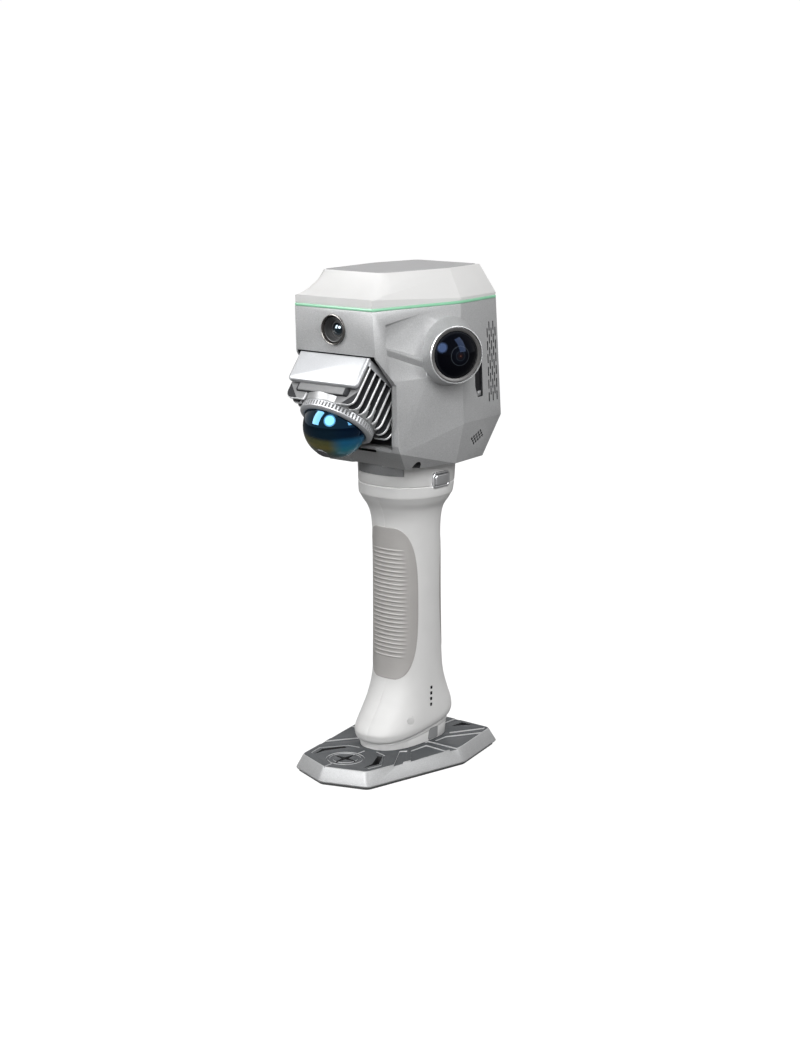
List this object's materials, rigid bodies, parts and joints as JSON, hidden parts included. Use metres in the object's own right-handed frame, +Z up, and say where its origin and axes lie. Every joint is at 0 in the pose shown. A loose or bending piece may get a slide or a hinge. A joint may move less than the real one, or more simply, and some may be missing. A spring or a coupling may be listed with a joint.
{
  "type": "handheld lidar scanner",
  "caption": "Handheld lidar scanner: faceted head with a domed, finned lidar module and cameras, on a battery handle with grip pads and a flat base plate.",
  "frame": {"origin": "on the floor, under the handle's axis, on the underside of the base plate's rubber sheet", "axes": "+Z up along the handle, -Y to the front where the lidar faces, +X to the side with the charge lights"},
  "size_m": [0.1442, 0.1651, 0.3756],
  "materials": {
    "black_rubber": "matt",
    "plate_paint": "fine metallic",
    "dark_steel": "blackened",
    "brass": "plain",
    "white_plastic": "fine matt",
    "grip_rubber": "matt",
    "cell_wrap": "film",
    "black_plastic": "matt",
    "circuit_board": "solder mask",
    "black_gloss": "polished",
    "button_silver": "satin",
    "spring_steel": "plain",
    "grey_plastic": "matt",
    "silver_paint": "metallic grain",
    "adapter_grey": "satin",
    "green_light": "frosted",
    "cap_white": "satin",
    "panel_grey": "satin",
    "antenna_ceramic": "glazed",
    "lidar_aluminium": "bead blasted",
    "dome_glass": "coated",
    "lens_glass": "coated"
  },
  "bodies": {
    "scanner": {"rubber_foot": "black_rubber", "base_plate": "plate_paint", "base_screws": "dark_steel", "tripod_insert": "brass", "foot_band": "white_plastic", "handle_shell_left": "white_plastic", "handle_shell_right": "white_plastic", "front_grip": "grip_rubber", "rear_grip": "grip_rubber", "collar": "white_plastic", "battery_cells": "cell_wrap", "cell_frame": "black_plastic", "battery_board": "circuit_board", "led_light_pipes": "black_gloss", "contact_block": "black_plastic", "release_bezels": "button_silver", "release_springs": "spring_steel", "charge_port": "spring_steel", "head_shell": "silver_paint", "bottom_cover": "grey_plastic", "handle_adapter": "adapter_grey", "case_screws": "dark_steel", "light_ring": "green_light", "top_cap": "cap_white", "top_panel": "panel_grey", "inner_deck": "black_plastic", "antenna_board": "circuit_board", "antenna_patch": "antenna_ceramic", "main_board": "circuit_board", "heat_sink": "lidar_aluminium", "fan_frame": "black_plastic", "lidar_bracket": "black_plastic", "lidar_housing": "lidar_aluminium", "lidar_label_plate": "lidar_aluminium", "lidar_ring": "lidar_aluminium", "lidar_window": "dome_glass", "lidar_tip": "black_gloss", "front_camera_bezel": "button_silver", "front_camera_barrel": "black_plastic", "front_camera_lens": "lens_glass", "side_camera_bezel_right": "black_gloss", "side_camera_bezel_left": "black_gloss", "side_camera_barrel_right": "black_plastic", "side_camera_barrel_left": "black_plastic", "side_camera_lens_right": "lens_glass", "side_camera_lens_left": "lens_glass", "slot_inserts": "black_gloss", "rear_socket": "spring_steel", "speaker": "black_plastic"},
    "release_button_right": {"release_button_right": "button_silver"},
    "release_button_left": {"release_button_left": "button_silver"},
    "battery_button": {"battery_button": "white_plastic"},
    "port_cover": {"port_cover": "grey_plastic"},
    "rear_port_cover": {"rear_port_cover": "black_rubber"},
    "fan_rotor": {"fan_rotor": "black_plastic"},
    "lidar_rotor": {"lidar_rotor": "black_plastic"}
  },
  "joints": [
    {"name": "release_right", "type": "slide", "parent": "scanner", "child": "release_button_right", "axis": [-1, 0, 0], "range_m": [0, 0.002], "stiffness_N_per_m": 400, "springref_m": -0.001},
    {"name": "release_left", "type": "slide", "parent": "scanner", "child": "release_button_left", "axis": [1, 0, 0], "range_m": [0, 0.002], "stiffness_N_per_m": 400, "springref_m": -0.001},
    {"name": "battery_check", "type": "slide", "parent": "scanner", "child": "battery_button", "axis": [-0.8829, 0.4695, 0], "range_m": [0, 0.0006], "stiffness_N_per_m": 300, "springref_m": -0.0005},
    {"name": "port_cover_hinge", "type": "hinge", "parent": "scanner", "child": "port_cover", "pos_m": [0.0229, 0.0117, 0.0185], "axis": [0, 0, 1], "range_deg": [0, 100]},
    {"name": "rear_cover_hinge", "type": "hinge", "parent": "scanner", "child": "rear_port_cover", "pos_m": [0, 0.05029, 0.24658], "axis": [-1, 0, 0], "range_deg": [0, 95]},
    {"name": "fan_spin", "type": "hinge", "parent": "scanner", "child": "fan_rotor", "pos_m": [0, 0.007, 0.262], "axis": [0, 0, 1], "continuous": true},
    {"name": "lidar_spin", "type": "hinge", "parent": "scanner", "child": "lidar_rotor", "pos_m": [0, -0.07238, 0.27474], "axis": [0, -0.606, -0.7955], "continuous": true}
  ]
}
